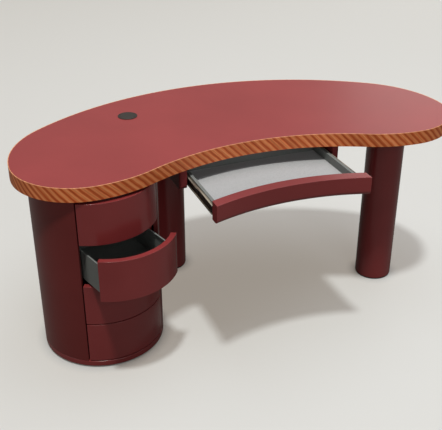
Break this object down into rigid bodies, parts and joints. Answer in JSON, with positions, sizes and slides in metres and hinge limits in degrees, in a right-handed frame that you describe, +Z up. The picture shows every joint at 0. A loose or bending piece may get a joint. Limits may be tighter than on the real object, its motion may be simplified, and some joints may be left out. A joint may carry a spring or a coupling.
{
  "type": "writing desk",
  "caption": "Bean-shaped writing desk on a round drawer pedestal and two round legs, with curved-front drawers on telescopic slides and a striped wooden edge.",
  "frame": {"origin": "on the floor, in the middle of the footprint as stored, with the centre drawer and the second pedestal drawer open", "axes": "+X to the sitter's right along the length, +Y away from the sitter, +Z up"},
  "size_m": [1.7674, 0.9846, 0.7523],
  "materials": {
    "burgundy_lacquer": "satin lacquer",
    "burgundy_steel": "satin lacquer",
    "burgundy_top": "satin laminate",
    "striped_wood": "oiled, with slanted stripes of light and dark wood",
    "board": "burgundy backing sheet",
    "outlet_plastic": "fine matt",
    "glide_plastic": "matt",
    "anthracite_steel": "fine powder coat",
    "zinc_steel": "zinc plated",
    "felt": "felt"
  },
  "bodies": {
    "desk": {"top_core": "board", "top_surface": "burgundy_top", "edge_band": "striped_wood", "outlet_sleeve": "outlet_plastic", "right_leg_tube": "burgundy_steel", "right_leg_plate": "zinc_steel", "right_leg_glide": "glide_plastic", "back_leg_tube": "burgundy_steel", "back_leg_plate": "zinc_steel", "back_leg_glide": "glide_plastic", "pedestal_glide": "glide_plastic", "pedestal_plinth": "burgundy_lacquer", "pedestal_shell": "burgundy_lacquer", "pedestal_top_panel": "board", "pedestal_right_wall": "burgundy_lacquer", "pedestal_left_wall": "burgundy_lacquer", "drawer_1_left_rail": "zinc_steel", "drawer_1_right_rail": "zinc_steel", "drawer_2_left_rail": "zinc_steel", "drawer_2_right_rail": "zinc_steel", "drawer_3_left_rail": "zinc_steel", "drawer_3_right_rail": "zinc_steel", "drawer_4_left_rail": "zinc_steel", "drawer_4_right_rail": "zinc_steel", "housing_left_panel": "burgundy_lacquer", "housing_right_panel": "burgundy_lacquer", "housing_back_rail": "board", "centre_left_slide_outer": "zinc_steel", "centre_right_slide_outer": "zinc_steel"},
    "outlet_lid": {"outlet_lid": "outlet_plastic"},
    "centre_drawer": {"centre_front": "burgundy_lacquer", "centre_left_side": "anthracite_steel", "centre_right_side": "anthracite_steel", "centre_back": "anthracite_steel", "centre_floor": "anthracite_steel", "centre_mat": "felt", "centre_left_slide_inner": "zinc_steel", "centre_right_slide_inner": "zinc_steel"},
    "centre_slides": {"centre_left_slide_middle": "zinc_steel", "centre_right_slide_middle": "zinc_steel"},
    "drawer_1": {"drawer_1_front": "burgundy_lacquer", "drawer_1_box": "anthracite_steel"},
    "drawer_1_runners": {"drawer_1_left_bar": "zinc_steel", "drawer_1_right_bar": "zinc_steel"},
    "drawer_2": {"drawer_2_front": "burgundy_lacquer", "drawer_2_box": "anthracite_steel"},
    "drawer_2_runners": {"drawer_2_left_bar": "zinc_steel", "drawer_2_right_bar": "zinc_steel"},
    "drawer_3": {"drawer_3_front": "burgundy_lacquer", "drawer_3_box": "anthracite_steel"},
    "drawer_3_runners": {"drawer_3_left_bar": "zinc_steel", "drawer_3_right_bar": "zinc_steel"},
    "drawer_4": {"drawer_4_front": "burgundy_lacquer", "drawer_4_box": "anthracite_steel"},
    "drawer_4_runners": {"drawer_4_left_bar": "zinc_steel", "drawer_4_right_bar": "zinc_steel"}
  },
  "joints": [
    {"name": "centre_drawer_slide", "type": "slide", "parent": "desk", "child": "centre_drawer", "axis": [0, -1, 0], "range_m": [-0.29, 0.06]},
    {"name": "centre_slides_run", "type": "slide", "parent": "desk", "child": "centre_slides", "axis": [0, -1, 0], "range_m": [-0.145, 0.03]},
    {"name": "drawer_1_slide", "type": "slide", "parent": "desk", "child": "drawer_1", "axis": [0.2756, -0.9613, 0], "range_m": [0, 0.25]},
    {"name": "drawer_1_runners_run", "type": "slide", "parent": "desk", "child": "drawer_1_runners", "axis": [0.2756, -0.9613, 0], "range_m": [0, 0.125]},
    {"name": "drawer_2_slide", "type": "slide", "parent": "desk", "child": "drawer_2", "axis": [0.2756, -0.9613, 0], "range_m": [-0.123, 0.127]},
    {"name": "drawer_2_runners_run", "type": "slide", "parent": "desk", "child": "drawer_2_runners", "axis": [0.2756, -0.9613, 0], "range_m": [-0.0615, 0.0635]},
    {"name": "drawer_3_slide", "type": "slide", "parent": "desk", "child": "drawer_3", "axis": [0.2756, -0.9613, 0], "range_m": [0, 0.25]},
    {"name": "drawer_3_runners_run", "type": "slide", "parent": "desk", "child": "drawer_3_runners", "axis": [0.2756, -0.9613, 0], "range_m": [0, 0.125]},
    {"name": "drawer_4_slide", "type": "slide", "parent": "desk", "child": "drawer_4", "axis": [0.2756, -0.9613, 0], "range_m": [0, 0.25]},
    {"name": "drawer_4_runners_run", "type": "slide", "parent": "desk", "child": "drawer_4_runners", "axis": [0.2756, -0.9613, 0], "range_m": [0, 0.125]},
    {"name": "outlet_lid_lift", "type": "slide", "parent": "desk", "child": "outlet_lid", "axis": [0, 0, 1], "range_m": [0, 0.04]}
  ],
  "couplings": [
    {"joint": "centre_slides_run", "follows": "centre_drawer_slide", "ratio": 0.5},
    {"joint": "drawer_1_runners_run", "follows": "drawer_1_slide", "ratio": 0.5},
    {"joint": "drawer_2_runners_run", "follows": "drawer_2_slide", "ratio": 0.5},
    {"joint": "drawer_3_runners_run", "follows": "drawer_3_slide", "ratio": 0.5},
    {"joint": "drawer_4_runners_run", "follows": "drawer_4_slide", "ratio": 0.5}
  ]
}
